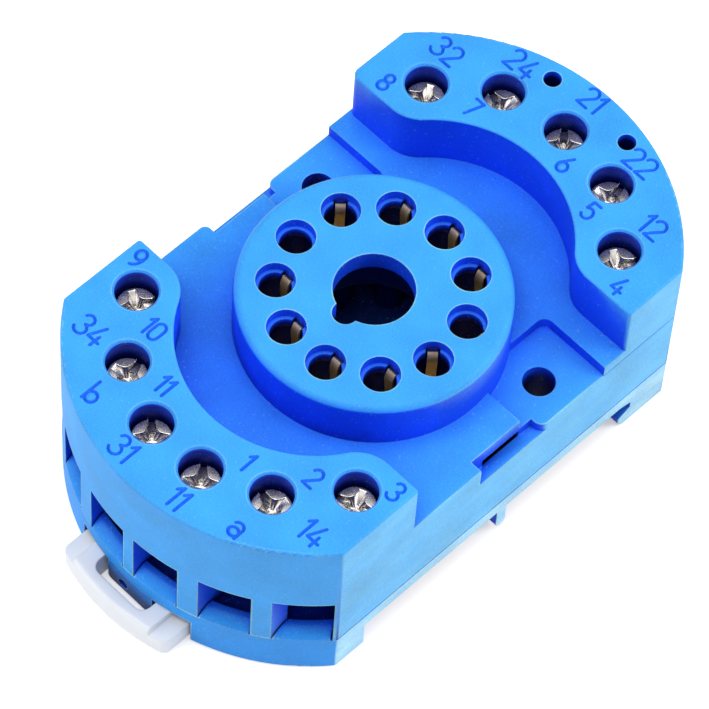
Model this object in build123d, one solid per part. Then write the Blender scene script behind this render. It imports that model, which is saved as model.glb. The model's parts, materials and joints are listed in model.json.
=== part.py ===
from build123d import *
import os
from math import asin, cos, radians, sin, sqrt

# Plug-in relay socket with eleven pin holes, box-clamp screw terminals and a sliding rail clip.
# Millimetres. The origin is on the key bore's axis at the disc's top face, where the relay seats.
# X runs along the socket, with the rail clip at the -X end, and +Z points to the relay.

# Outline, seen from above
HALF_WIDTH = 19.13          # centre line to each flat side
END_RADIUS = 24.05          # the two rounded ends
END_CENTRE = 8.2            # key axis to the centre of each rounded end
OUTLINE_CORNER = 0.5        # radius where a flat meets a rounded end

# Levels
BLOCK_RISE = 0.85           # terminal blocks above the disc's face
DECK_DROP = 5.9             # deck below the disc's face
PAD_DROP = 1.4              # screw pads below the deck
NOTCH_DROP = 2.6            # floor of the clip notches below the deck
PARTING_DROP = 16.1         # joint between the two mouldings below the disc's face
PLATE = 1.7                 # base plate thickness
FOOT_HEIGHT = 3.7           # feet below the base plate

# Terminal blocks
NEAR_FACE = 12.9            # key axis to the straight inner face at the clip end
FAR_FACE = 15.5             # the same at the hook end
NEAR_BAY = 13.27            # radius of the hollow in the inner face, about the end's centre
FAR_BAY = 13.5
NEAR_LIP = 4.2              # radius where the straight face turns into the hollow
FAR_LIP = 4.0
BLOCK_CORNER = 0.35         # upright corner of a block at the flat side
FAR_CORNER = 0.9            # the far block's upright corner on the +Y side
BLOCK_EDGE = 0.25           # rounding along a block's top

# Disc with the pin holes
DISC_RADIUS = 13.6
DISC_EDGE = 0.9             # rounding of the rim
PIN_COUNT = 11
PIN_CIRCLE = 19.05          # diameter through the pin holes
PIN_HOLE = 1.96             # radius at the face
PIN_MOUTH = 1.2             # depth of the wide mouth
PIN_NECK = 1.63             # radius under the mouth
FACE_WALL = 2.4             # thickness of the disc's face
CELL = 2.05                 # radius of the chamber around a contact's leaves
KEY_BORE = 4.03             # radius
KEY_NOTCH = 1.3             # radius of the keyway's half-round end
KEY_REACH = 5.2             # key axis to the bottom of the keyway
WELL_UNDER_KEY = 6.6        # radius of the hollow under the key bore

# Screw pads, one on each side of the disc
PAD_NEAR = 2.55
PAD_FAR = 12.8
PAD_INNER = 10.97           # centre line to the pad's inner wall
PAD_CORNER = 1.0
PANEL_HOLE_X = 7.7
PANEL_HOLE_Y = 15.33
PANEL_HOLE = 1.65           # radius
PANEL_BOSS_WALL = 1.0

# Notches that take the feet of a relay retaining clip
NOTCH_NEAR = -4.1
NOTCH_FAR = 4.15
NOTCH_DEPTH = 1.38          # in from the flat
NOTCH_CORNER = 0.7          # near outer corner, on the +Y side
NOTCH_FAR_CORNER = 1.0      # far outer corners
HOOK_SLOT_HALF = 2.45       # half the length of the undercut slot
HOOK_SLOT_HEIGHT = 0.9
HOOK_SLOT_DEPTH = 1.5

# Walls of the upper moulding
SIDE_WALL = 1.7             # flats
END_WALL = 2.2              # rounded ends, at the wire entries
BAY_WALL = 0.9              # between the middle hollow and the terminal wells
DECK_UNDER = 0.9            # middle hollow's roof above the contact strips
LEAST_FLOOR = 0.8           # least thickness under the notch floor
MIDDLE_NEAR = 12.0          # reach of the wide part of the middle hollow
MIDDLE_FAR = 14.5

# Terminal screws: angle from the end's axis and inset from the end arc, innermost first
NEAR_FIRST = (10.6, 5.85)
NEAR_SECOND = (33.5, 6.15)
NEAR_THIRD_X = 17.13        # the outer ones are set from the key axis and the flats
NEAR_THIRD_INSET = 4.08
FAR_MIDDLE_INSET = 6.05
FAR_SECOND = (23.8, 5.65)
FAR_THIRD_X = 20.12
FAR_THIRD_INSET = 5.89

# Wire entries: from the screw's axis to each side of the opening, along Y
NEAR_FIRST_ENTRY = (-2.65, 2.65)
NEAR_SECOND_ENTRY = (-1.73, 3.08)
NEAR_THIRD_ENTRY = (-0.45, 3.8)
FAR_MIDDLE_ENTRY = (-2.5, 2.5)
FAR_SECOND_ENTRY = (-1.95, 2.95)
FAR_THIRD_ENTRY = (-1.05, 3.35)
ENTRY_SKIN = 0.28           # least wall between an entry's mouth and the flat
ENTRY_ABOVE_STRIP = 1.4     # top of the entry above the contact strip
THROAT_HALF = 1.6           # least reach of the throat to each side of the screw
SILL_RISE = 1.3             # sill of the base that leads the wire up into the clamp
SILL_DEPTH = 1.15           # rounded end to the sill's crest
SILL_CREST = 0.5            # thickness at the crest
SILL_BULGE = 0.12
SILL_START = 0.1            # the slope's foot outside the rounded end, before trimming
SILL_GAP = 0.15

# Box clamps, built up from the base plate
CAGE_LENGTH = 5.0           # along X
CAGE_WIDTH = 4.4
CAGE_SIDE = 0.7
CAGE_BOTTOM = 1.0
CAGE_NUT = 2.2              # threaded top wall
CAGE_FLOOR_GAP = 0.5
CAGE_TRAVEL = 3.0
CAGE_TOP_GAP = 0.2          # to the well's roof when tight
JAW_OPEN = 3.4              # room for the wire when open
STRIP_GAP = 0.2             # strip to the cage's top wall when open
WELL_GAP = 0.15             # around the cage
LEDGE = 1.15                # wall that the screw head rests on

# Terminal screws
SCREW_HOLE = 2.15           # radius of the access hole
SCREW_MOUTH = 0.25          # chamfer at its mouth
SCREW_RING = 0.6            # thickness of the ring that keeps the screw in
SCREW_ROOM = 2.4            # radius under the ring
HEAD_RADIUS = 2.05
HEAD_HEIGHT = 1.7
HEAD_EDGE = 0.35
SHANK_RADIUS = 1.5
SHANK_TIP = 0.3
SHANK_PASS = 0.2            # play of the shank in the ledge
THREAD_PLAY = 0.05          # play of the shank in the cage
HEAD_GAP = 0.05
TIP_GAP = 0.05
SLOT_WIDTH = 0.7
SLOT_DEPTH = 0.8
CROSS_LENGTH = 2.7
CROSS_WIDTH = 0.75
CROSS_DEPTH = 1.15
SCREW_TURN = 37             # degrees from one screw's slot to the next

# Contacts: a flat strip with a spring leaf and a short back leg
STRIP_THICK = 0.8
STRIP_WIDTH = 2.6
STRIP_PLAY = 0.15
SEAT_RADIUS = 1.85          # round pad under the pin
TONGUE_PAST = 2.3           # past the screw's axis
ELBOW_BEFORE = 3.6          # bend before the screw's axis
LEAF_THICK = 0.3
LEAF_WIDTH = 1.0
LEAF_ROOT = 1.45            # pin axis to the leaf's inner face at its root
LEAF_GRIP = 1.15            # at its narrowest
LEAF_FLARE = 1.58           # at its curled top
LEAF_DROP = 1.4             # top of the leaf below the disc's face
GRIP_DROP = 2.65            # narrowest place below the disc's face
LEG_DROP = 4.3              # top of the back leg below the disc's face
LEAF_TURNS = {3: 45, 4: -75, 8: 45, 9: 160}
LEAF_WINDOW = 1.4           # width of the gap in the neck behind the leaf

# Sockets for a plug-in module, in the far block
MODULE_X = 29.55
MODULE_Y = 5.1
MODULE_HOLE = 0.93          # radius
MODULE_DEPTH = 5.0

# Base plate details
POST_RADIUS = 1.5
POST_SIDE = 2.0
SEAT_GAP = 0.05             # posts to the contacts
PEG_RADIUS = 1.25
PEG_LENGTH = 4.5
PEG_PLAY = 0.03
PEG_BOSS_WALL = 0.95
PEG_TIP_GAP = 0.6
NEAR_PEG_X = -7.5
FAR_PEG_X = 13.6
PEG_INSET = 2.6             # from the flat

# Rail feet
RAIL_HALF = 17.5            # half the width of the rail
RAIL_PLAY = 1.5             # near feet to the rail's edge
FOOT_WALL = 1.8
FOOT_EDGE = 0.4             # rounding of the near feet's lower edge
HOOK_BITE = 1.15            # hook under the rail's edge
HOOK_PLAY = 0.4             # slit beyond the rail's edge
HOOK_SLOPE = 0.4            # slit's roof falls by this much
HOOK_MOUTH = 2.05
HOOK_ROOT = 1.3
HOOK_NOSE = 1.2             # radius of the hook's lower corner
RIB_NEAR = -0.9
RIB_FAR = 0.4
RIB_DROP = 2.9
RIB_LENGTH = 4.5            # along Y, from the flat

# Rail clip
CLIP_HALF = 7.2
CLIP_PULL = 3.0             # reach of the pull past the rounded end
CLIP_CROWN = 1.15           # the pull's tip to its corners
CLIP_CORNER = 0.8           # radius of the corners
CLIP_THICK = 3.3
CLIP_TOP_GAP = 0.1
CLIP_SIDE_GAP = 0.3
CLIP_EDGE = 0.5
CLIP_BAR = 1.5              # width of the pull between its tip and the window
CLIP_TRAVEL = 2.5           # pull to free the rail
WINDOW_HALF = 3.6
WINDOW_CORNER = 1.1
SHELF_Y = 5.3
SHELF_DROP = 0.8
SHELF_LENGTH = 5.05
CLIP_BITE = 1.5             # nose under the rail's edge
CLIP_BACK_GAP = 0.3         # clip body to the rail's edge
NOSE_THICK = 1.9
NOSE_BEVEL = 0.9
FLANGE_HALF = 8.2
FLANGE_THICK = 1.2
FLANGE_SET_BACK = 5.25      # the rounded end to the flange's near end
FLANGE_START = 1.0          # near feet's inner face to the flange's far end
GROOVE_PLAY = 0.2
LUG_HALF = 3.1
LUG_THICK = 1.5
LUG_GAP = 1.75              # to the pull, as seen through the window
LUG_PLAY = 0.2              # to the window's inner edge when the clip is pulled out
LUG_DROP = 3.5
LUG_CORNER = 0.5
LUG_HOLE = 0.6
LUG_HOLE_Y = 1.0
LUG_HOLE_DROP = 2.4

# Reaches along the socket at the clip end, from the key axis
END_TIP = END_CENTRE + END_RADIUS
FOOT_START = RAIL_HALF + RAIL_PLAY
CLIP_TIP = END_TIP + CLIP_PULL
CLIP_CORNER_X = CLIP_TIP - CLIP_CROWN
SHELF_INNER = CLIP_TIP - SHELF_LENGTH
WINDOW_OUTER = CLIP_TIP - CLIP_BAR
LUG_OUTER = WINDOW_OUTER - LUG_GAP
LUG_INNER = LUG_OUTER - LUG_THICK
WINDOW_INNER = LUG_INNER - CLIP_TRAVEL - LUG_PLAY
FLANGE_NEAR = END_TIP - FLANGE_SET_BACK
FLANGE_FAR = FOOT_START + FLANGE_START

# Levels worked out from the stack above
Z_BLOCK = BLOCK_RISE
Z_DECK = -DECK_DROP
Z_PAD = Z_DECK - PAD_DROP
Z_NOTCH = Z_DECK - NOTCH_DROP
Z_PART = -PARTING_DROP
Z_SEAT = Z_PART - PLATE
Z_FOOT = Z_SEAT - FOOT_HEIGHT
Z_CAGE = Z_PART + CAGE_FLOOR_GAP
Z_JAW = Z_CAGE + CAGE_BOTTOM
Z_STRIP = Z_JAW + JAW_OPEN
Z_STRIP_TOP = Z_STRIP + STRIP_THICK
Z_NUT = Z_STRIP_TOP + STRIP_GAP
Z_CAGE_TOP = Z_NUT + CAGE_NUT
Z_WELL = Z_CAGE_TOP + CAGE_TRAVEL + CAGE_TOP_GAP
Z_LEDGE = Z_WELL + LEDGE
Z_HEAD = Z_LEDGE + HEAD_GAP
Z_TIP = Z_STRIP_TOP + TIP_GAP
Z_ENTRY = Z_STRIP_TOP + ENTRY_ABOVE_STRIP
Z_ROOF = min(Z_STRIP_TOP + DECK_UNDER, Z_NOTCH - LEAST_FLOOR)
Z_SILL = Z_PART + SILL_RISE
FAR_OUT = 3 * END_RADIUS
SKIM = 1.0


def box(x0, x1, y0, y1, z0, z1):
    """A block between two corners, in any order along X and Y."""
    centre = Pos((x0 + x1) / 2, (y0 + y1) / 2, (z0 + z1) / 2)
    return centre * Box(abs(x1 - x0), abs(y1 - y0), z1 - z0)


def rod(x, y, z0, z1, radius):
    """An upright cylinder."""
    return Pos(x, y, (z0 + z1) / 2) * Cylinder(radius, z1 - z0)


def prism(plan, z0, z1):
    """A plan drawn on the XY plane, made solid between two levels."""
    return extrude(Pos(0, 0, z0) * plan, z1 - z0)


def rectangle(x0, x1, y0, y1):
    """A rectangle between two corners, in any order."""
    return Pos((x0 + x1) / 2, (y0 + y1) / 2) * Rectangle(abs(x1 - x0), abs(y1 - y0))


def outline(inset=0.0):
    """The socket's plan, or the same shape a wall's thickness inside it."""
    radius = END_RADIUS - inset
    width = HALF_WIDTH - inset
    reach = END_CENTRE + sqrt(radius**2 - width**2)
    tip = END_CENTRE + radius
    plan = make_face(
        [
            Line((-reach, width), (reach, width)),
            ThreePointArc((reach, width), (tip, 0), (reach, -width)),
            Line((reach, -width), (-reach, -width)),
            ThreePointArc((-reach, -width), (-tip, 0), (-reach, width)),
        ]
    )
    return fillet(plan.vertices(), OUTLINE_CORNER)


def block_plan(end, face, bay, lip, corners):
    """Plan of one terminal block: straight inner face with a round hollow for the disc."""
    half = outline() & rectangle(end * face, end * FAR_OUT, -FAR_OUT, FAR_OUT)
    plan = half - Pos(end * END_CENTRE, 0) * Circle(bay)
    on_face = [v for v in plan.vertices() if abs(v.X - end * face) < 1e-4]
    at_bay = [v for v in on_face if abs(v.Y) < HALF_WIDTH - lip / 2]
    plan = fillet(at_bay, lip)
    for side, radius in corners.items():
        at_flat = [
            v
            for v in plan.vertices()
            if abs(v.X - end * face) < 1e-4 and abs(v.Y - side * HALF_WIDTH) < 1e-4
        ]
        plan = fillet(at_flat, radius)
    return plan


def polar_post(end, place):
    """Centre of a terminal screw from its angle and its inset."""
    angle, inset = place
    radius = END_RADIUS - inset
    return end * (END_CENTRE + radius * cos(radians(angle))), radius * sin(radians(angle))


def terminals():
    """Number, end, side, screw centre and wire entry of each terminal."""
    far_reach = END_CENTRE + END_RADIUS - FAR_MIDDLE_INSET
    half = [
        (1, -1, polar_post(-1, NEAR_FIRST), NEAR_FIRST_ENTRY),
        (2, -1, polar_post(-1, NEAR_SECOND), NEAR_SECOND_ENTRY),
        (3, -1, (-NEAR_THIRD_X, HALF_WIDTH - NEAR_THIRD_INSET), NEAR_THIRD_ENTRY),
        (4, 1, (FAR_THIRD_X, HALF_WIDTH - FAR_THIRD_INSET), FAR_THIRD_ENTRY),
        (5, 1, polar_post(1, FAR_SECOND), FAR_SECOND_ENTRY),
    ]
    rows = []
    for number, end, (x, y), entry in half:
        rows.append((number, end, -1, x, y, entry))
        rows.append((PIN_COUNT + 1 - number, end, 1, x, y, entry))
    rows.append(((PIN_COUNT + 1) // 2, 1, 1, far_reach, 0.0, FAR_MIDDLE_ENTRY))
    return sorted(rows)


def pin_place(number):
    """Centre of a pin hole. They are numbered anticlockwise from beside the keyway."""
    angle = radians(180 + (number - 0.5) * 360 / PIN_COUNT)
    return PIN_CIRCLE / 2 * cos(angle), PIN_CIRCLE / 2 * sin(angle)


def entry_sides(y, entry):
    """Inner and outer side of a wire entry's mouth."""
    return y + entry[0], min(y + entry[1], HALF_WIDTH - ENTRY_SKIN)


def arc_reach(y):
    """Key axis to the end arc, at a distance from the centre line."""
    return END_CENTRE + sqrt(END_RADIUS**2 - y**2)


def entry_plan(end, side, x, y, entry, gap=0.0):
    """Plan of a wire entry: a mouth through the end wall, then a throat to the well."""
    inner, outer = entry_sides(y, entry)
    inner += gap
    outer -= gap
    throat_in = min(inner, y - THROAT_HALF + gap)
    throat_out = min(max(outer, y + THROAT_HALF - gap), HALF_WIDTH - SIDE_WALL - gap)
    well_end = abs(x) + CAGE_LENGTH / 2 + gap
    mouth_in = arc_reach(inner) - END_WALL
    mouth_out = max(arc_reach(outer) - END_WALL, well_end)
    points = [
        (FAR_OUT, inner),
        (FAR_OUT, outer),
        (arc_reach(outer), outer),
        (mouth_out, throat_out),
        (well_end, throat_out),
        (well_end, throat_in),
        (mouth_in, throat_in),
    ]
    if inner - throat_in > 0.01:
        points.append((mouth_in, inner))
    if mouth_out - well_end < 0.01:
        points.remove((well_end, throat_out))
    return make_face(Polyline([(end * px, side * py) for px, py in points], close=True))


def strip_plan(number, end, side, x, y, grow=0.0):
    """Plan of a contact strip: round pad, slanting run and straight tongue."""
    px, py = pin_place(number)
    half = STRIP_WIDTH / 2 + grow
    ex = x - end * ELBOW_BEFORE
    ey = side * y
    tip = x + end * (TONGUE_PAST + grow)
    run = Vector(ex - px, ey - py).normalized()
    mitre = half * (1 - abs(run.X)) / run.Y if abs(run.Y) > 1e-6 else 0
    points = [
        (px - half * run.Y, py + half * run.X),
        (ex - mitre, ey + end * half),
        (tip, ey + end * half),
        (tip, ey - end * half),
        (ex + mitre, ey - end * half),
        (px + half * run.Y, py - half * run.X),
    ]
    return make_face(Polyline(points, close=True)) + Pos(px, py) * Circle(SEAT_RADIUS + grow)


def leaf_frame(number):
    """Place and turn of a contact's leaves about its pin hole."""
    x, y = pin_place(number)
    return Pos(x, y) * Rotation(0, 0, LEAF_TURNS.get(number, 0))


def upper_housing():
    """Upper moulding: deck, two terminal blocks, disc, wells and wire entries."""
    body = prism(outline(), Z_PART, Z_DECK)
    near = (-1, NEAR_FACE, NEAR_BAY, NEAR_LIP, {-1: BLOCK_CORNER, 1: BLOCK_CORNER})
    far = (1, FAR_FACE, FAR_BAY, FAR_LIP, {-1: BLOCK_CORNER, 1: FAR_CORNER})
    for shape in (near, far):
        block = prism(block_plan(*shape), Z_DECK - SKIM, Z_BLOCK)
        rim = [
            e
            for e in block.faces().sort_by(Axis.Z)[-1].edges()
            if abs(e.center().Y) < HALF_WIDTH - BLOCK_CORNER and abs(e.center().X) < arc_reach(0) - 2 * BLOCK_CORNER
        ]
        body += block if not rim else fillet(rim, BLOCK_EDGE)
    for side in (-1, 1):
        pad = rectangle(PAD_NEAR, PAD_FAR, side * PAD_INNER, side * FAR_OUT)
        inner = [v for v in pad.vertices() if abs(abs(v.Y) - PAD_INNER) < 1e-4]
        body -= prism(fillet(inner, PAD_CORNER), Z_PAD, Z_DECK + SKIM)
        floor = HALF_WIDTH - NOTCH_DEPTH
        body -= box(NOTCH_NEAR, NOTCH_FAR, side * floor, side * FAR_OUT, Z_NOTCH, Z_DECK + SKIM)
    for x, sides, radius in ((NOTCH_NEAR, (1,), NOTCH_CORNER), (NOTCH_FAR, (-1, 1), NOTCH_FAR_CORNER)):
        corners = [
            e
            for e in body.edges().filter_by(Axis.Z)
            if abs(e.center().X - x) < 1e-3
            and min(abs(e.center().Y - side * HALF_WIDTH) for side in sides) < 1e-3
        ]
        body = fillet(corners, radius)

    disc = rod(0, 0, Z_PAD - SKIM, 0, DISC_RADIUS)
    rim = disc.edges().filter_by(GeomType.CIRCLE).sort_by(Axis.Z)[-1]
    body += fillet(rim, DISC_EDGE)

    body -= middle_hollow()
    body -= rod(0, 0, Z_ROOF - SKIM, -FACE_WALL, WELL_UNDER_KEY)
    body -= rod(0, 0, -FACE_WALL - SKIM, SKIM, KEY_BORE)
    keyway = KEY_REACH - KEY_NOTCH
    body -= rod(-keyway, 0, -FACE_WALL - SKIM, SKIM, KEY_NOTCH)
    for number in range(1, PIN_COUNT + 1):
        x, y = pin_place(number)
        body -= rod(x, y, -PIN_MOUTH, SKIM, PIN_HOLE)
        body -= rod(x, y, -FACE_WALL - SKIM, SKIM, PIN_NECK)
        body -= rod(x, y, Z_ROOF - SKIM, -FACE_WALL, CELL)
        window = box(0, PIN_HOLE, -LEAF_WINDOW / 2, LEAF_WINDOW / 2, -FACE_WALL, -PIN_MOUTH)
        body -= leaf_frame(number) * window

    for side in (-1, 1):
        wall = HALF_WIDTH - NOTCH_DEPTH
        body -= box(
            -HOOK_SLOT_HALF,
            HOOK_SLOT_HALF,
            side * (wall - HOOK_SLOT_DEPTH),
            side * (wall + NOTCH_DEPTH / 2),
            Z_NOTCH,
            Z_NOTCH + HOOK_SLOT_HEIGHT,
        )
        body -= rod(PANEL_HOLE_X, side * PANEL_HOLE_Y, Z_PART - SKIM, Z_BLOCK, PANEL_HOLE)
        body -= rod(MODULE_X, side * MODULE_Y, Z_BLOCK - MODULE_DEPTH, Z_BLOCK + SKIM, MODULE_HOLE)
    for x, y in peg_places():
        body -= rod(x, y, Z_PART - SKIM, Z_PART + PEG_LENGTH + PEG_TIP_GAP, PEG_RADIUS + PEG_PLAY)

    for number, end, side, x, y, entry in terminals():
        body -= terminal_well(end, side, x, y, entry)
        body -= prism(strip_plan(number, end, side, x, y, STRIP_PLAY), Z_PART - SKIM, Z_STRIP_TOP + STRIP_PLAY)
    return body


def well_distance(x, y):
    """End's centre to the nearest corner of a terminal well."""
    along = abs(x) - END_CENTRE - CAGE_LENGTH / 2 - WELL_GAP
    across = max(y - CAGE_WIDTH / 2 - WELL_GAP, 0)
    return sqrt(along**2 + across**2)


def middle_hollow():
    """Hollow under the deck, with bosses left standing for the pegs and the panel screws."""
    radius = min(well_distance(x, y) for number, end, side, x, y, entry in terminals()) - BAY_WALL
    inside = HALF_WIDTH - SIDE_WALL
    plan = rectangle(-MIDDLE_NEAR, MIDDLE_FAR, -inside, inside)
    plan += rectangle(-END_CENTRE, END_CENTRE, -radius, radius)
    for end in (-1, 1):
        plan += Pos(end * END_CENTRE, 0) * Circle(radius)
    hollow = prism(plan, Z_PART - SKIM, Z_ROOF)
    for side in (-1, 1):
        radius = PANEL_HOLE + PANEL_BOSS_WALL
        hollow -= rod(PANEL_HOLE_X, side * PANEL_HOLE_Y, Z_PART - 2 * SKIM, Z_ROOF + SKIM, radius)
    for x, y in peg_places():
        hollow -= rod(x, y, Z_PART - 2 * SKIM, Z_ROOF + SKIM, PEG_RADIUS + PEG_BOSS_WALL)
    return hollow


def peg_places():
    """Centres of the pegs that hold the two mouldings together."""
    y = HALF_WIDTH - PEG_INSET
    return [(x, side * y) for x in (NEAR_PEG_X, FAR_PEG_X) for side in (-1, 1)]


def terminal_well(end, side, x, y, entry):
    """Everything cut out of the upper moulding for one terminal."""
    half_length = CAGE_LENGTH / 2 + WELL_GAP
    half_width = CAGE_WIDTH / 2 + WELL_GAP
    cy = side * y
    well = box(x - half_length, x + half_length, cy - half_width, cy + half_width, Z_PART - SKIM, Z_WELL)
    well += prism(entry_plan(end, side, x, y, entry), Z_PART - SKIM, Z_ENTRY)
    well += rod(x, cy, Z_WELL - SKIM, Z_LEDGE + SKIM, SHANK_RADIUS + SHANK_PASS)
    well += rod(x, cy, Z_LEDGE, Z_BLOCK + SKIM, SCREW_HOLE)
    well += rod(x, cy, Z_LEDGE, Z_BLOCK - SCREW_RING, SCREW_ROOM)
    mouth = Cone(SCREW_HOLE, SCREW_HOLE + SCREW_MOUTH, SCREW_MOUTH)
    well += Pos(x, cy, Z_BLOCK - SCREW_MOUTH / 2) * mouth
    return well


def terminal_screw(number, side, x, y):
    """Captive clamp screw with a slot and a cross in its head."""
    head = rod(0, 0, Z_HEAD, Z_HEAD + HEAD_HEIGHT, HEAD_RADIUS)
    rim = head.edges().filter_by(GeomType.CIRCLE).sort_by(Axis.Z)[-1]
    screw = fillet(rim, HEAD_EDGE)
    shank = rod(0, 0, Z_TIP, Z_HEAD + HEAD_EDGE, SHANK_RADIUS)
    end = shank.edges().filter_by(GeomType.CIRCLE).sort_by(Axis.Z)[0]
    screw += chamfer(end, SHANK_TIP)
    top = Z_HEAD + HEAD_HEIGHT
    slot = 2 * HEAD_RADIUS
    screw -= box(-slot, slot, -SLOT_WIDTH / 2, SLOT_WIDTH / 2, top - SLOT_DEPTH, top + SKIM)
    for turn in (0, 90):
        arm = box(
            -CROSS_LENGTH / 2,
            CROSS_LENGTH / 2,
            -CROSS_WIDTH / 2,
            CROSS_WIDTH / 2,
            top - CROSS_DEPTH,
            top + SKIM,
        )
        screw -= Rotation(0, 0, turn) * arm
    return Pos(x, side * y) * Rotation(0, 0, number * SCREW_TURN) * screw


def clamp_cage(side, x, y):
    """Rising box clamp, shown open, with the threaded hole in its top wall."""
    half_length = CAGE_LENGTH / 2
    half_width = CAGE_WIDTH / 2
    cy = side * y
    cage = box(x - half_length, x + half_length, cy - half_width, cy + half_width, Z_CAGE, Z_CAGE_TOP)
    cage = fillet(cage.edges().filter_by(Axis.X), CAGE_SIDE / 2)
    inside = half_width - CAGE_SIDE
    cage -= box(x - CAGE_LENGTH, x + CAGE_LENGTH, cy - inside, cy + inside, Z_JAW, Z_NUT)
    cage -= rod(x, cy, Z_NUT - SKIM, Z_CAGE_TOP + SKIM, SHANK_RADIUS + THREAD_PLAY)
    return cage


def leaf_curl(depth):
    """Start, middle and end of the leaf's outward curl, at a depth into the sheet."""
    rise = GRIP_DROP - LEAF_DROP
    reach = LEAF_FLARE - LEAF_GRIP
    radius = (rise**2 + reach**2) / (2 * reach)
    turn = asin(rise / radius)
    points = []
    for angle in (0, turn / 2, turn):
        x = LEAF_GRIP + radius - (radius - depth) * cos(angle)
        points.append((x, -GRIP_DROP + (radius - depth) * sin(angle)))
    return points


def contact(number, end, side, x, y):
    """Stamped contact from a pin hole to its clamp."""
    piece = prism(strip_plan(number, end, side, x, y), Z_STRIP, Z_STRIP_TOP)
    knee = (Z_STRIP_TOP - GRIP_DROP) / 2
    inner = leaf_curl(0.0)
    outer = leaf_curl(LEAF_THICK)
    back = LEAF_ROOT + LEAF_THICK
    profile = make_face(
        [
            Line((LEAF_ROOT, Z_STRIP), (LEAF_ROOT, knee)),
            Line((LEAF_ROOT, knee), inner[0]),
            ThreePointArc(*inner),
            Line(inner[2], outer[2]),
            ThreePointArc(*reversed(outer)),
            Line(outer[0], (back, knee)),
            Line((back, knee), (back, Z_STRIP)),
            Line((back, Z_STRIP), (LEAF_ROOT, Z_STRIP)),
        ]
    )
    leaf = extrude(Plane.XZ * profile, LEAF_WIDTH / 2, both=True)
    leg = box(
        -LEAF_ROOT - LEAF_THICK,
        -LEAF_ROOT,
        -LEAF_WIDTH / 2,
        LEAF_WIDTH / 2,
        Z_STRIP,
        -LEG_DROP,
    )
    frame = leaf_frame(number)
    return piece + frame * leaf + frame * leg


def sill_ring(end):
    """Rounded sill that leads a wire up into the clamp, before it is cut to the entries."""
    lip = END_RADIUS + SILL_START
    crest = END_RADIUS - SILL_DEPTH
    inner = crest - SILL_CREST
    bulge = ((lip + crest) / 2 + SILL_BULGE, (Z_SILL + Z_PART) / 2 + SILL_BULGE)
    profile = make_face(
        [
            ThreePointArc((lip, Z_PART), bulge, (crest, Z_SILL)),
            Line((crest, Z_SILL), (inner, Z_SILL)),
            Line((inner, Z_SILL), (inner, Z_PART - SKIM)),
            Line((inner, Z_PART - SKIM), (lip, Z_PART - SKIM)),
            Line((lip, Z_PART - SKIM), (lip, Z_PART)),
        ]
    )
    return Pos(end * END_CENTRE, 0, 0) * revolve(Plane.XZ * profile, Axis.Z)


def base_cover():
    """Lower moulding: plate, sills, posts, pegs, rail feet, hook and clip guides."""
    envelope = prism(outline(), Z_FOOT, Z_SILL + SKIM)
    body = prism(outline(), Z_SEAT, Z_PART)
    for end in (-1, 1):
        ring = sill_ring(end) & envelope
        for number, at, side, x, y, entry in terminals():
            if at != end:
                continue
            mouth = entry_plan(end, side, x, y, entry, SILL_GAP)
            body += ring & prism(mouth, Z_PART - SKIM / 2, Z_SILL + SKIM)
    for number, end, side, x, y, entry in terminals():
        px, py = pin_place(number)
        ex = x - end * ELBOW_BEFORE
        body += rod(px, py, Z_PART - SKIM, Z_STRIP - SEAT_GAP, POST_RADIUS)
        half = POST_SIDE / 2
        cy = side * y
        body += box(ex - half, ex + half, cy - half, cy + half, Z_PART - SKIM, Z_STRIP - SEAT_GAP)
    for x, y in peg_places():
        peg = rod(x, y, Z_PART - SKIM, Z_PART + PEG_LENGTH, PEG_RADIUS)
        tip = peg.edges().filter_by(GeomType.CIRCLE).sort_by(Axis.Z)[-1]
        body += chamfer(tip, PEG_RADIUS / 4)

    body += near_feet()
    body += far_foot()
    for side in (-1, 1):
        bottom = Z_SEAT - RIB_DROP
        rib = box(RIB_NEAR, RIB_FAR, side * HALF_WIDTH, side * (HALF_WIDTH - RIB_LENGTH), bottom, Z_SEAT + SKIM)
        low = [e for e in rib.edges().filter_by(Axis.Y) if e.center().Z < Z_SEAT]
        body += fillet(low, (RIB_FAR - RIB_NEAR) * 0.45)
        body -= rod(PANEL_HOLE_X, side * PANEL_HOLE_Y, Z_FOOT - SKIM, Z_PART + SKIM, PANEL_HOLE)
    lug = box(-LUG_OUTER, -LUG_INNER, -LUG_HALF, LUG_HALF, Z_SEAT - LUG_DROP, Z_SEAT + SKIM)
    low = [e for e in lug.edges().filter_by(Axis.X) if e.center().Z < Z_SEAT]
    lug = fillet(low, LUG_CORNER)
    drill = Pos(-LUG_OUTER, LUG_HOLE_Y, Z_SEAT - LUG_HOLE_DROP) * Rotation(0, 90, 0)
    body += lug - drill * Cylinder(LUG_HOLE, 4 * (LUG_OUTER - LUG_INNER))
    return body


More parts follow.
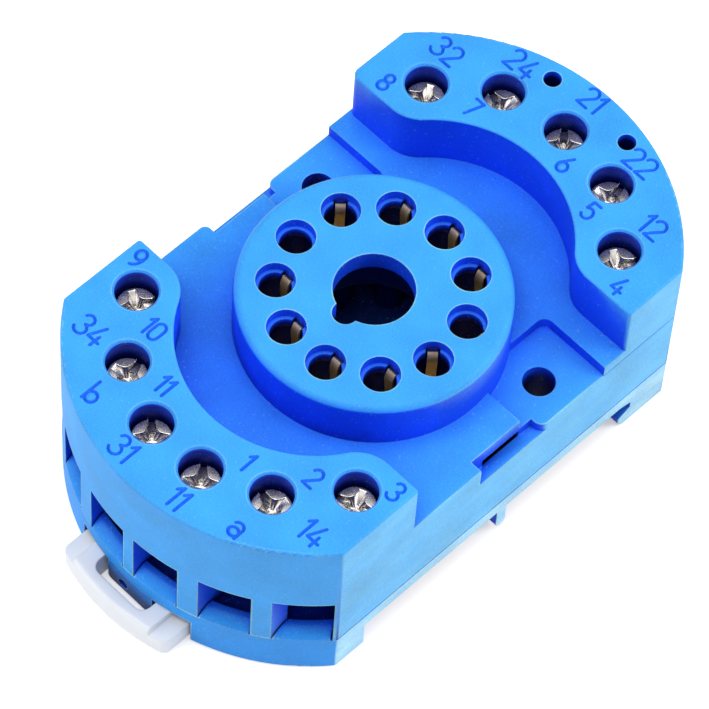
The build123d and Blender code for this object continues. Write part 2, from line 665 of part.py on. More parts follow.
def near_feet():
    """Two hollow feet beside the rail clip, each with a groove for the clip's flange."""
    guide = CLIP_HALF + CLIP_SIDE_GAP
    shell = prism(outline(), Z_FOOT, Z_SEAT + SKIM)
    shell = fillet(shell.faces().sort_by(Axis.Z)[0].edges(), FOOT_EDGE)
    solid = None
    for side in (-1, 1):
        pocket = outline(FOOT_WALL) & rectangle(
            -FOOT_START - FOOT_WALL, -FAR_OUT, side * (guide + FOOT_WALL), side * FAR_OUT
        )
        block = box(-FOOT_START, -FAR_OUT, side * guide, side * FAR_OUT, Z_FOOT, Z_SEAT + SKIM)
        block = fillet(block.faces().sort_by(Axis.Z)[0].edges(), FOOT_EDGE)
        foot = shell & block
        foot -= prism(pocket, Z_FOOT - SKIM, Z_SEAT)
        groove_low = Z_SEAT - CLIP_TOP_GAP - FLANGE_THICK - GROOVE_PLAY
        groove_end = FLANGE_NEAR + CLIP_TRAVEL + GROOVE_PLAY
        reach = FLANGE_HALF + GROOVE_PLAY
        foot -= box(-groove_end, 0, side * guide / 2, side * reach, groove_low, Z_SEAT)
        solid = foot if solid is None else solid + foot
    return solid


def far_foot():
    """Foot across the far end with the fixed hook for the rail's edge."""
    lip = RAIL_HALF - HOOK_BITE
    root = RAIL_HALF + HOOK_PLAY
    plan = outline() & rectangle(lip, FAR_OUT, -FAR_OUT, FAR_OUT)
    foot = prism(plan, Z_FOOT, Z_SEAT + SKIM)
    corner = [
        e
        for e in foot.faces().sort_by(Axis.Z)[0].edges().filter_by(Axis.Y)
        if abs(e.center().X - lip) < 1e-3
    ]
    foot = fillet(corner, HOOK_NOSE)
    slit = make_face(
        Polyline(
            [
                (lip - SKIM, Z_SEAT),
                (lip, Z_SEAT),
                (root, Z_SEAT - HOOK_SLOPE),
                (root, Z_SEAT - HOOK_ROOT),
                (lip, Z_SEAT - HOOK_MOUTH),
                (lip - SKIM, Z_SEAT - HOOK_MOUTH),
            ],
            close=True,
        )
    )
    foot -= extrude(Plane.XZ * slit, FAR_OUT, both=True)
    pocket = outline(FOOT_WALL) & rectangle(root + FOOT_WALL, FAR_OUT, -FAR_OUT, FAR_OUT)
    pocket -= rectangle(root, FAR_OUT, -FOOT_WALL / 2, FOOT_WALL / 2)
    return foot - prism(pocket, Z_FOOT - SKIM, Z_SEAT)


def rail_clip():
    """Sliding clip: curved pull, two arms, plate with side flanges and the nose under the rail."""
    top = Z_SEAT - CLIP_TOP_GAP
    low = top - CLIP_THICK
    back = RAIL_HALF + CLIP_BACK_GAP
    plan = make_face(
        [
            ThreePointArc((-CLIP_CORNER_X, CLIP_HALF), (-CLIP_TIP, 0), (-CLIP_CORNER_X, -CLIP_HALF)),
            Line((-CLIP_CORNER_X, -CLIP_HALF), (-back, -CLIP_HALF)),
            Line((-back, -CLIP_HALF), (-back, CLIP_HALF)),
            Line((-back, CLIP_HALF), (-CLIP_CORNER_X, CLIP_HALF)),
        ]
    )
    soft = [v for v in plan.vertices() if v.X < -CLIP_CORNER_X + 1e-3]
    clip = prism(fillet(soft, CLIP_CORNER), low, top)
    front = [e for e in clip.edges() if e.center().X < CLIP_CORNER - CLIP_CORNER_X]
    outer = [e for e in front if min(abs(e.center().Z - low), abs(e.center().Z - top)) < 1e-4]
    clip = fillet(outer, CLIP_EDGE)
    window = rectangle(-WINDOW_OUTER, -WINDOW_INNER, -WINDOW_HALF, WINDOW_HALF)
    clip -= prism(fillet(window.vertices(), WINDOW_CORNER), low - SKIM, top + SKIM)
    for side in (-1, 1):
        clip -= box(-FAR_OUT, -SHELF_INNER, side * SHELF_Y, side * FAR_OUT, top - SHELF_DROP, top + SKIM)
        clip += box(
            -FLANGE_NEAR,
            -FLANGE_FAR,
            side * CLIP_HALF / 2,
            side * FLANGE_HALF,
            top - FLANGE_THICK,
            top,
        )
    nose = box(-back - SKIM, -RAIL_HALF + CLIP_BITE, -CLIP_HALF, CLIP_HALF, low, low + NOSE_THICK)
    lead = [
        e
        for e in nose.edges().filter_by(Axis.Y)
        if e.center().X > -RAIL_HALF and e.center().Z < low + NOSE_THICK / 2
    ]
    return clip + chamfer(lead, NOSE_BEVEL)


os.makedirs("parts", exist_ok=True)
export_step(upper_housing(), "parts/upper_housing.step")
export_step(base_cover(), "parts/base_cover.step")
export_step(rail_clip(), "parts/rail_clip.step")
for number, end, side, x, y, entry in terminals():
    export_step(terminal_screw(number, side, x, y), f"parts/terminal_screw_{number:02d}.step")
    export_step(clamp_cage(side, x, y), f"parts/clamp_cage_{number:02d}.step")
    export_step(contact(number, end, side, x, y), f"parts/contact_{number:02d}.step")
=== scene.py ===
# %% [markdown]
# # A relay socket, dressed for its picture
# This notebook takes a finished CAD model of a plug-in relay socket and gives it its looks:
# blue moulded plastic, a white clip, nickel screws and brass contacts. The CAD model is the frame.
# Nothing in it is moved or resized here. Lengths are in metres, and MM turns millimetres into them.

# %% Load the frame
import json
import math

import bmesh
import bpy
from mathutils import Matrix, Vector

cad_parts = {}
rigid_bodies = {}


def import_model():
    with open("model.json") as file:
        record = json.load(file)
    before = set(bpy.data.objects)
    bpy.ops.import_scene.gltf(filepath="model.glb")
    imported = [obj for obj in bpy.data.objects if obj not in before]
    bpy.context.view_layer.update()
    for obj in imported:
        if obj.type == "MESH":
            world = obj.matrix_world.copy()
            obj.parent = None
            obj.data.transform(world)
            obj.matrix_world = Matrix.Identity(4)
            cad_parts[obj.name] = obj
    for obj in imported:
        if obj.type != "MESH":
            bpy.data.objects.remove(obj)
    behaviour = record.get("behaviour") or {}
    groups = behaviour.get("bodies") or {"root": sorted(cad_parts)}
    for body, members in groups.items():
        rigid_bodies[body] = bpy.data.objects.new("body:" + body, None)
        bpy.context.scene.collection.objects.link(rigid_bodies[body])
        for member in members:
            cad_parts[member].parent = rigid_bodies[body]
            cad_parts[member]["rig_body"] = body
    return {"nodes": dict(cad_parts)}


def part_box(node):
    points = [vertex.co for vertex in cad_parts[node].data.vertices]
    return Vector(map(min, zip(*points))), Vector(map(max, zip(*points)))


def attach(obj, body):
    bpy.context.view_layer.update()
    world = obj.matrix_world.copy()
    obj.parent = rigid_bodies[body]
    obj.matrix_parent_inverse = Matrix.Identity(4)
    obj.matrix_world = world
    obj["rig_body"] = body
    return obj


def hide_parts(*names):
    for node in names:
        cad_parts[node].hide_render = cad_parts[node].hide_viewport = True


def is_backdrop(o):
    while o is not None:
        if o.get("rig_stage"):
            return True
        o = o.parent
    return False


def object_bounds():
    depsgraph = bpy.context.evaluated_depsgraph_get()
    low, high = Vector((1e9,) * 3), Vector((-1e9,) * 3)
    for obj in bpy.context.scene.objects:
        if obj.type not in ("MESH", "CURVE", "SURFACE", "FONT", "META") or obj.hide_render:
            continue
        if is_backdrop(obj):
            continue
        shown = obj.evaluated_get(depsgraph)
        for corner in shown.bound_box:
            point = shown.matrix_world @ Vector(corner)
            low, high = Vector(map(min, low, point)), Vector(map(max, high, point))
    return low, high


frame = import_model()
cad_low, cad_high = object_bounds()
MM = 0.001
print("CAD nodes:", len(frame["nodes"]))
print("CAD box in mm:", [round(v / MM, 2) for v in cad_high - cad_low])

# %% [markdown]
# ## The camera
# The picture was taken from far away with a long lens, so parallel edges stay nearly parallel.
# The eye point and the direction were found by matching the pin circle, the screw holes and the
# outline. A long lens far off is better here than a short one close by, which would spread the near
# end of the socket.

# %% Camera
EYE = Vector((-187.388, -166.557, 398.585)) * MM
GAZE = Vector((0.38734, 0.34825, -0.85363)).normalized()
ROLL = math.radians(-4.346)
LENS = 249.27
FILM_WIDTH = 36
NEAREST, FARTHEST = 0.01, 20
horizon = GAZE.cross(Vector((0, 0, 1))).normalized()
right = Matrix.Rotation(ROLL, 3, GAZE) @ horizon
up = right.cross(GAZE)
camera_data = bpy.data.cameras.new("camera")
camera_data.lens = LENS
camera_data.sensor_width = FILM_WIDTH
camera_data.clip_start = NEAREST
camera_data.clip_end = FARTHEST
camera = bpy.data.objects.new("camera", camera_data)
camera.matrix_world = Matrix.Translation(EYE) @ Matrix((right, up, -GAZE)).transposed().to_4x4()
bpy.context.scene.collection.objects.link(camera)
bpy.context.scene.camera = camera
print("camera height above the bench in mm:", round((EYE.z - cad_low.z) / MM))

# %% [markdown]
# ## Helpers for materials
# A hex colour is how a screen stores it. Shaders want linear light, so one function converts.
# Another adds a node, sets its sockets and makes its links in one call, which keeps each material
# short enough to read. A socket is named, with _ for a space, or given by its number after an i.
# A Map Range node takes the input's limits at 1 and 2 and gives the output's at 3 and 4. A colour
# Mix node has its factor at 0, its colours at 6 and 7, and its result at output 2.


# %% Colour and node helpers
def linear(hex_code):
    """sRGB hex to linear red, green, blue and alpha."""
    values = [int(hex_code[i:i + 2], 16) / 255 for i in (1, 3, 5)]
    return [v / 12.92 if v <= 0.04045 else ((v + 0.055) / 1.055) ** 2.4 for v in values] + [1.0]


def add(tree, kind, settings=None, **sockets):
    """Adds one node. A socket's value is a plain value, or another node's output to link."""
    node = tree.nodes.new(kind)
    for name, value in (settings or {}).items():
        setattr(node, name, value)
    for name, value in sockets.items():
        numbered = name[0] == "i" and name[1:].isdigit()
        socket = node.inputs[int(name[1:]) if numbered else name.replace("_", " ")]
        if isinstance(value, bpy.types.NodeSocket):
            tree.links.new(value, socket)
        else:
            socket.default_value = value
    return node


def new_material(name):
    """An empty node material, its tree, and the place on the piece in metres."""
    material = bpy.data.materials.new(name)
    material.use_nodes = True
    tree = material.node_tree
    tree.nodes.clear()
    return material, tree, add(tree, "ShaderNodeTexCoord").outputs["Object"]


print("middle grey in linear light:", round(linear("#808080")[0], 3))

# %% [markdown]
# ## Where the blue gets a painted highlight and painted shade
# Two masks drive the blue. The first finds convex edges, which get a pale painted highlight that
# also
# stands for wear: it compares the true surface direction with one that a Bevel node has rounded
# off.
# The second finds hollows, for painted shade. Light that bounces between blue walls gets bluer at
# each bounce, and the picture shows that strongly, so an Ambient Occlusion node measures how open
# each spot is. Both work from the shape alone, so they stay put in any view.


# %% Masks
TIMES = {"operation": "MULTIPLY"}
DOT = {"operation": "DOT_PRODUCT"}
OPENNESS_SAMPLES = 16
EDGE_SAMPLES = 6


def openness(tree, reach_mm, own=True):
    """1 on an open face, towards 0 in a hollow of its own piece, or of all, within the reach."""
    settings = {"samples": OPENNESS_SAMPLES, "only_local": own}
    return add(tree, "ShaderNodeAmbientOcclusion", settings, Distance=reach_mm * MM).outputs["AO"]


def rounded_off(tree, radius_mm):
    """The surface direction, with every edge rounded to that radius."""
    settings = {"samples": EDGE_SAMPLES}
    return add(tree, "ShaderNodeBevel", settings, Radius=radius_mm * MM).outputs["Normal"]


def edge_highlight_and_wear(tree, rounded, true, clear):
    """Share of painted edge highlight and wear: 1 on an open convex edge, 0 on flat faces and in
    inner corners.
    """
    match = add(tree, "ShaderNodeVectorMath", DOT, i0=rounded, i1=true).outputs["Value"]
    edge = add(tree, "ShaderNodeMapRange", Value=match, i1=0.99, i2=0.86)
    outside = add(tree, "ShaderNodeMapRange", Value=clear, i1=0.72, i2=0.95)
    return add(tree, "ShaderNodeMath", TIMES, i0=edge.outputs[0], i1=outside.outputs[0]).outputs[0]


print("rays sent for openness and for an edge:", OPENNESS_SAMPLES, EDGE_SAMPLES)

# %% [markdown]
# ## Painted shade and painted sheen on the blue
# The colour is built in layers. As painted shade, a wall turns deep blue as soon as anything stands
# near it, and a floor only where it is well shut in, and the bottoms of deep holes, and of narrow
# ones, turn navy, nearly black. Outer walls get a pale painted sheen in faint streaks, palest on
# the flat sides, where the streaks also stand for the rubbing of sockets that stand side by side on
# their rail. Painting these places by hand would work too, but paint wouldn't follow a new shape.

# %% Layers of blue
MIX_COLOUR = {"data_type": "RGBA"}
MIXED = 2
SIZE = {"operation": "ABSOLUTE"}
LESSER = {"operation": "MINIMUM"}
DEEP_HOLE_MM = 30.0
# Navy painted shade for the bottoms of deep or narrow holes.
PAINTED_HOLE_SHADE = "#000E5C"


def blue_with_painted_shade(tree, wall, own, clear, face, deep):
    """The face's blue with painted shade: deeper in hollows, on walls first, and navy down deep or
    narrow holes.
    """
    closed = add(tree, "ShaderNodeMapRange", Value=wall, i3=0.1, i4=0.93).outputs[0]
    hollow = add(tree, "ShaderNodeMapRange", Value=clear, i1=closed, i2=0.99).outputs[0]
    blue = add(tree, "ShaderNodeMix", MIX_COLOUR, i0=hollow, i6=linear(deep), i7=linear(face))
    blue = blue.outputs[MIXED]
    around = openness(tree, DEEP_HOLE_MM, own=False)
    roomy = add(tree, "ShaderNodeMapRange", Value=around, i1=0.05, i2=0.17).outputs[0]
    wide = add(tree, "ShaderNodeMapRange", Value=own, i1=0.17, i2=0.29).outputs[0]
    painted_pit_shade = add(tree, "ShaderNodeMath", LESSER, i0=roomy, i1=wide).outputs[0]
    return add(tree, "ShaderNodeMix", MIX_COLOUR, i0=painted_pit_shade, i6=linear(PAINTED_HOLE_SHADE), i7=blue)


def sheen_and_wear_share(tree, lean, wall, clear, streak, sheen_share, side_sheen_share):
    """Share of painted sheen, streaked like wear, on outer walls: flat sides take the second,
    others the first.
    """
    sideways = add(tree, "ShaderNodeMath", SIZE, i0=lean["Y"]).outputs[0]
    limits = {"i1": 0.8, "i2": 0.98, "i3": sheen_share, "i4": side_sheen_share}
    pale = add(tree, "ShaderNodeMapRange", Value=sideways, **limits).outputs[0]
    patchy = add(tree, "ShaderNodeMapRange", Value=streak, i1=0.3, i2=0.7, i3=0.75, i4=1.2)
    bare = add(tree, "ShaderNodeMapRange", Value=clear, i1=0.80, i2=0.99)
    for share in (patchy.outputs[0], wall, bare.outputs[0]):
        pale = add(tree, "ShaderNodeMath", TIMES, i0=pale, i1=share).outputs[0]
    return pale


print("deep holes in linear light:", [round(v, 4) for v in linear(PAINTED_HOLE_SHADE)[:3]])

# %% [markdown]
# ## Moulded blue plastic
# Both mouldings are glass-filled PBT, a matt engineering plastic. The mould's spark-eroded skin
# leaves a grain about a tenth of a millimetre wide, and the melt's flow leaves faint patches a few
# millimetres wide. Glass fibres near the skin show as tiny pale specks. The grain is drawn a little
# coarser than life, or it wouldn't show. A picture texture could carry all this, but noise has no
# seams, and its size can be given in millimetres. The rough skin mirrors little of the room, so the
# specular level is low, and the deep blues stay deep. The index of refraction is that of most
# plastics.

# %% Blue PBT
TIMES_COLOUR = {"data_type": "RGBA", "blend_type": "MULTIPLY"}
HOLLOW_MM = 9.0
FLOW_MM = 6.0
GRAIN_MM = 0.17
GRAIN_DEPTH_MM = 0.03
SPECK_MM = 0.3
STREAK_MM = 5.0
STREAK_STRETCH = (1, 1, 3)
# Radius of the rounding for the painted edge highlight, also wear, and for the grain's bump.
EDGE_HIGHLIGHT_AND_WEAR_MM = 0.3
PLASTIC_IOR = 1.5
MATT_SPECULAR = 0.18


def moulded_plastic(name, face, deep, sheen_and_speck, sheen_share, side_sheen_share, roughness):
    """Matt moulded plastic: grain, flow patches, specks, painted sheen and wear, painted edge
    highlight, painted shade in hollows.
    """
    material, tree, place = new_material(name)
    noise = "ShaderNodeTexNoise"
    flow = add(tree, noise, Vector=place, Scale=1 / (FLOW_MM * MM), Detail=2.0).outputs["Fac"]
    grain = add(tree, noise, Vector=place, Scale=1 / (GRAIN_MM * MM), Detail=2.0).outputs["Fac"]
    speck = add(tree, noise, Vector=place, Scale=1 / (SPECK_MM * MM), Detail=1.0).outputs["Fac"]
    along = add(tree, "ShaderNodeMapping", Vector=place, Scale=STREAK_STRETCH).outputs["Vector"]
    streak = add(tree, noise, Vector=along, Scale=1 / (STREAK_MM * MM), Detail=5.0).outputs["Fac"]

    true = add(tree, "ShaderNodeNewGeometry").outputs["Normal"]
    lean = add(tree, "ShaderNodeSeparateXYZ", Vector=true).outputs
    level = add(tree, "ShaderNodeMath", SIZE, i0=lean["Z"]).outputs[0]
    wall = add(tree, "ShaderNodeMapRange", Value=level, i1=0.6, i2=0.25).outputs[0]
    upward = add(tree, "ShaderNodeMapRange", Value=lean["Z"], i1=0.15, i2=0.4).outputs[0]
    own, all_round = openness(tree, HOLLOW_MM), openness(tree, HOLLOW_MM, own=False)
    clear = add(tree, "ShaderNodeMix", i0=upward, i2=own, i3=all_round).outputs[0]

    pale = sheen_and_wear_share(tree, lean, wall, clear, streak, sheen_share, side_sheen_share)
    rounded = rounded_off(tree, EDGE_HIGHLIGHT_AND_WEAR_MM)
    edge = edge_highlight_and_wear(tree, rounded, true, clear)
    uneven = add(tree, "ShaderNodeMapRange", Value=streak, i1=0.4, i2=0.6, i3=0.45, i4=1.0)
    edge = add(tree, "ShaderNodeMath", TIMES, i0=edge, i1=uneven.outputs[0]).outputs[0]
    dots = add(tree, "ShaderNodeMapRange", Value=speck, i1=0.66, i2=0.78, i4=0.14).outputs[0]
    # Painted shade first, then painted sheen, painted edge highlight and real pale specks over it.
    blue = blue_with_painted_shade(tree, wall, own, clear, face, deep)
    for share in (pale, edge, dots):
        under = blue.outputs[MIXED]
        blue = add(tree, "ShaderNodeMix", MIX_COLOUR, i0=share, i6=under, i7=linear(sheen_and_speck))

    mottle = add(tree, "ShaderNodeMath", {"operation": "ADD"}, i0=grain, i1=flow).outputs[0]
    shade = add(tree, "ShaderNodeMapRange", Value=mottle, i1=0.6, i2=1.4, i3=0.77, i4=1.16)
    blue = add(
        tree, "ShaderNodeMix", TIMES_COLOUR, i0=1.0, i6=blue.outputs[MIXED], i7=shade.outputs[0]
    )
    least, most = roughness - 0.05, roughness + 0.07
    gloss = add(tree, "ShaderNodeMapRange", Value=flow, i3=least, i4=most).outputs[0]
    depth = GRAIN_DEPTH_MM * MM
    bump = add(tree, "ShaderNodeBump", Height=grain, Strength=0.5, Distance=depth, Normal=rounded)
    shader = add(
        tree,
        "ShaderNodeBsdfPrincipled",
        Base_Color=blue.outputs[MIXED],
        Roughness=gloss,
        Normal=bump.outputs["Normal"],
        IOR=PLASTIC_IOR,
    )
    shader.inputs["Specular IOR Level"].default_value = MATT_SPECULAR
    add(tree, "ShaderNodeOutputMaterial", Surface=shader.outputs["BSDF"])
    return material


# %% The three blues
# Pale colours for the painted sheen on outer walls and the painted edge highlight, both also
# standing for wear, and for the real pale specks.
SEA_SHEEN_AND_SPECK = "#ACEEDC"
ICE_SHEEN_AND_SPECK = "#CCF6F6"
MATT = 0.5
PBT = "blue_pbt_moulded_"
blue_pbt = moulded_plastic(PBT + "matt", "#3CA5F8", "#0E4CF2", SEA_SHEEN_AND_SPECK, 0.03, 0.26, MATT)
# The groove blue is darker: painted shade inside the engraved grooves, and the dark of the joint
# lines.
blue_pbt_groove_shade_and_joint = moulded_plastic(PBT + "groove", "#1272F4", "#0C5CF0", SEA_SHEEN_AND_SPECK, 0.0, 0.0, MATT)
blue_pbt_base = moulded_plastic(PBT + "base", "#309CF6", "#0C4CF0", ICE_SHEEN_AND_SPECK, 0.0, 0.6, MATT)
print("plastics:", blue_pbt.name, blue_pbt_groove_shade_and_joint.name, blue_pbt_base.name)

# %% [markdown]
# ## White nylon
# The clip is natural nylon, moulded without fillers, so it is milky and satin: a little light goes
# in and comes out again nearby. Subsurface scattering gives that, over about a millimetre. A plain
# white shader would render faster, but it would look like chalk.

# %% Nylon
CLOUD_MM = 4.0
SATIN_GRAIN_MM = 0.25
SATIN_DEPTH_MM = 0.02
CLIP_EDGE_MM = 0.25
NYLON_IOR = 1.53
MILKINESS = 0.25
MILKY_MM = 1.2


def natural_nylon(name, body):
    """Milky unfilled nylon, satin, with faint clouding a few millimetres wide."""
    material, tree, place = new_material(name)
    noise = "ShaderNodeTexNoise"
    cloud = add(tree, noise, Vector=place, Scale=1 / (CLOUD_MM * MM), Detail=2.0).outputs["Fac"]
    fine = 1 / (SATIN_GRAIN_MM * MM)
    grain = add(tree, noise, Vector=place, Scale=fine, Detail=2.0).outputs["Fac"]
    shade = add(tree, "ShaderNodeMapRange", Value=cloud, i3=0.96, i4=1.02).outputs[0]
    white = add(tree, "ShaderNodeMix", TIMES_COLOUR, i0=1.0, i6=linear(body), i7=shade)
    gloss = add(tree, "ShaderNodeMapRange", Value=cloud, i3=0.34, i4=0.44).outputs[0]
    rounded = rounded_off(tree, CLIP_EDGE_MM)
    depth = SATIN_DEPTH_MM * MM
    bump = add(tree, "ShaderNodeBump", Height=grain, Strength=0.2, Distance=depth, Normal=rounded)
    shader = add(
        tree,
        "ShaderNodeBsdfPrincipled",
        Base_Color=white.outputs[MIXED],
        Roughness=gloss,
        Normal=bump.outputs["Normal"],
        IOR=NYLON_IOR,
    )
    shader.inputs["Subsurface Weight"].default_value = MILKINESS
    shader.inputs["Subsurface Radius"].default_value = (1.0, 1.0, 1.0)
    shader.inputs["Subsurface Scale"].default_value = MILKY_MM * MM
    add(tree, "ShaderNodeOutputMaterial", Surface=shader.outputs["BSDF"])
    return material


clip_nylon = natural_nylon("natural_nylon_moulded", "#EDF0F5")
print("clip:", clip_nylon.name)

# %% [markdown]
# ## Nickel, zinc and brass
# The screws are nickel-plated steel. Their cold-headed tops are slightly pitted and duller where
# the plate is thin, and their edges are painted paler, a painted glint that also stands for
# burnishing.
# The clamp cages are zinc plated, stamped and folded. The contacts are rolled brass strip with fine
# rolling lines. All these marks are drawn coarser than life. One function makes all three, since
# only colours and marks differ, and each written out would repeat the same nodes. Metals keep the
# default index of refraction.

# %% Metals
PATCH_MM = 0.9
GLINT_AND_BURNISH_MM = 0.1
MARK_DEPTH_MM = 0.015
ROLLED = (1, 1, 12)


def metal(name, body, dull, glint_and_burnish, roughness, mark_mm, stretch=(1, 1, 1)):
    """Bare or plated metal: fine marks of that size, patches of duller plate, edges painted paler
    as a glint, also burnishing.
    """
    material, tree, place = new_material(name)
    noise = "ShaderNodeTexNoise"
    turned = add(tree, "ShaderNodeMapping", Vector=place, Scale=stretch).outputs["Vector"]
    marks = add(tree, noise, Vector=turned, Scale=1 / (mark_mm * MM), Detail=3.0).outputs["Fac"]
    patches = add(tree, noise, Vector=place, Scale=1 / (PATCH_MM * MM), Detail=2.0).outputs["Fac"]
    share = add(tree, "ShaderNodeMapRange", Value=patches, i1=0.35, i2=0.65).outputs[0]
    colour = add(tree, "ShaderNodeMix", MIX_COLOUR, i0=share, i6=linear(body), i7=linear(dull))
    colour = colour.outputs[MIXED]
    true = add(tree, "ShaderNodeNewGeometry").outputs["Normal"]
    rounded = rounded_off(tree, GLINT_AND_BURNISH_MM)
    match = add(tree, "ShaderNodeVectorMath", DOT, i0=rounded, i1=true).outputs["Value"]
    edge = add(tree, "ShaderNodeMapRange", Value=match, i1=0.98, i2=0.85).outputs[0]
    colour = add(tree, "ShaderNodeMix", MIX_COLOUR, i0=edge, i6=colour, i7=linear(glint_and_burnish))
    least, most = roughness - 0.08, roughness + 0.1
    gloss = add(tree, "ShaderNodeMapRange", Value=marks, i3=least, i4=most).outputs[0]
    bump = add(tree, "ShaderNodeBump", Height=marks, Strength=0.3, Distance=MARK_DEPTH_MM * MM)
    shader = add(
        tree,
        "ShaderNodeBsdfPrincipled",
        Base_Color=colour.outputs[MIXED],
        Roughness=gloss,
        Normal=bump.outputs["Normal"],
        Metallic=1.0,
    )
    add(tree, "ShaderNodeOutputMaterial", Surface=shader.outputs["BSDF"])
    return material


# The third colour of each is the painted glint on its edges, which also stands for burnishing.
screw_nickel = metal("nickel_plated_steel_headed", "#E0DCD6", "#B2ADA5", "#FFFFFF", 0.27, 0.12)
cage_zinc = metal("zinc_plated_steel_stamped", "#9A9CA0", "#74767A", "#C8CACC", 0.35, 0.2)
leaf_brass = metal("brass_strip_rolled", "#FFE7AC", "#F8D68C", "#FFF6DC", 0.5, 0.08, ROLLED)
print("metals:", screw_nickel.name, cage_zinc.name, leaf_brass.name)

# %% [markdown]
# ## Softened copies
# CAD edges are perfectly sharp, and no moulded edge is. Each visible moulding gets a copy of its
# CAD mesh: doubled corners are merged, flat triangles are joined into whole faces, and then a bevel
# rounds every edge that turns more than 30 degrees. A bevel straight on the CAD mesh would catch on
# its doubled corners. The copy rides on the same body and stands for its node. Modifiers are worked
# in at the end, so a last one can weight the smooth shading by face size. Large faces then shade
# flat, and only the narrow bevels shade round.

# %% Softened copy of a node
WELD_MM = 0.0005
FLAT_WITHIN = math.radians(1)
MOULDED_EDGE = math.radians(30)


def moulding(node, name, material, width_mm, segments=2):
    """A copy of a CAD node with its edges rounded, riding where the node does."""
    source = frame["nodes"][node]
    mesh = bpy.data.meshes.new(name)
    work = bmesh.new()
    work.from_mesh(source.data)
    bmesh.ops.remove_doubles(work, verts=work.verts, dist=WELD_MM * MM)
    bmesh.ops.dissolve_limit(work, angle_limit=FLAT_WITHIN, verts=work.verts, edges=work.edges)
    work.to_mesh(mesh)
    work.free()
    mesh.materials.clear()
    mesh.materials.append(material)
    piece = bpy.data.objects.new(name, mesh)
    bpy.context.scene.collection.objects.link(piece)
    bevel = piece.modifiers.new("soft edges", "BEVEL")
    bevel.width = width_mm * MM
    bevel.segments = segments
    bevel.limit_method = "ANGLE"
    bevel.angle_limit = MOULDED_EDGE
    bevel.miter_outer = "MITER_ARC"
    bevel.use_clamp_overlap = True
    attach(piece, source["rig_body"])
    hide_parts(node)
    return piece


def work_in(piece):
    """Weights the smooth shading by face size, then turns the modifiers into plain mesh."""
    for polygon in piece.data.polygons:
        polygon.use_smooth = True
    weighting = piece.modifiers.new("flat faces stay flat", "WEIGHTED_NORMAL")
    weighting.weight = 100
    graph = bpy.context.evaluated_depsgraph_get()
    mesh = bpy.data.meshes.new_from_object(piece.evaluated_get(graph))
    piece.modifiers.clear()
    piece.data = mesh
    print(piece.name, "faces:", len(mesh.polygons))


print("edges are rounded from degrees:", round(math.degrees(MOULDED_EDGE)))

# %% The three mouldings
housing = moulding("upper_housing", "housing_shell", blue_pbt, 0.12)
base = moulding("base_cover", "base_shell", blue_pbt_base, 0.12)
clip = moulding("rail_clip", "clip_shell", clip_nylon, 0.3, 3)
work_in(base)
work_in(clip)

# %% [markdown]
# ## Solids to cut with
# The housing and the screws are cut by subtracting small solids. Each is a stack of outlines, which
# one function joins into a closed mesh. A Boolean modifier takes them all out at once, exactly, and
# the cut faces keep the material of what cut them. Drawing the marks as a bump would be quicker,
# but a real cut shows from every side and stays when the model is exported.

# %% Build and cut solids
OVERSHOOT = 1


def solid(name, faces_of):
    """An object whose mesh the given function builds, in millimetres."""
    work = bmesh.new()
    faces_of(work)
    bmesh.ops.recalc_face_normals(work, faces=work.faces)
    bmesh.ops.scale(work, vec=(MM, MM, MM), verts=work.verts)
    mesh = bpy.data.meshes.new(name)
    work.to_mesh(mesh)
    work.free()
    thing = bpy.data.objects.new(name, mesh)
    bpy.context.scene.collection.objects.link(thing)
    return thing


def stacked(work, outlines):
    """Joins outlines of one point count, each with its height, into a closed solid."""
    rings = [[work.verts.new((x, y, z)) for x, y in rim] for z, rim in outlines]
    for low, high in zip(rings, rings[1:]):
        for i in range(len(low)):
            work.faces.new((low[i - 1], low[i], high[i], high[i - 1]))
    work.faces.new(rings[0])
    work.faces.new(rings[-1])


def cut(piece, cutters):
    """Takes the cutters' solids out of a piece, then deletes them."""
    group = bpy.data.collections.new("cutters")
    bpy.context.scene.collection.children.link(group)
    for cutter in cutters:
        group.objects.link(cutter)
    boolean = piece.modifiers.new("cuts", "BOOLEAN")
    boolean.operation = "DIFFERENCE"
    boolean.solver = "EXACT"
    boolean.operand_type = "COLLECTION"
    boolean.collection = group
    boolean.material_mode = "TRANSFER"
    graph = bpy.context.evaluated_depsgraph_get()
    mesh = bpy.data.meshes.new_from_object(piece.evaluated_get(graph))
    piece.modifiers.clear()
    piece.data = mesh
    for cutter in cutters:
        bpy.data.objects.remove(cutter)
    bpy.data.collections.remove(group)


print("cutters reach past the faces they cut by mm:", OVERSHOOT)

# %% [markdown]
# ## A pocket and two fine lines
# Each clip notch has a slot at its wall's foot, where a retaining clip hooks in. Behind it lies a
# pocket, which makes the slot show dark in the picture. The pocket leaves a thin skin of wall, so
# the slot's mouth keeps its size. Along each flat side run two hair lines: the joint between the
# two mouldings, and a mark that the mould's own joint left. Dark paint could stand for all of
# these, but it would look flat from the side, so each is cut with a plain block.

# %% Pocket and lines
POCKET_HALF = 2.4
POCKET_WALL = 17.75
POCKET_DEPTH = 1.35
WALL_SKIN = 0.01
POCKET_LOW = -9.9
POCKET_HIGH = -7.65
FLAT = 19.13
LINE_DEPTH = 0.12
JOINT_LINE = (-30, 30, -16.2, -15.93)
MOULD_LINE = (12.8, 30, -7.51, -7.39)


def slab(first, last, near, far, bottom, top):
    """Gives the function that builds a block between limits along X, Y and Z."""
    near, far = sorted((near, far))
    rim = [(first, near), (last, near), (last, far), (first, far)]
    return lambda work: stacked(work, [(bottom, rim), (top, rim)])


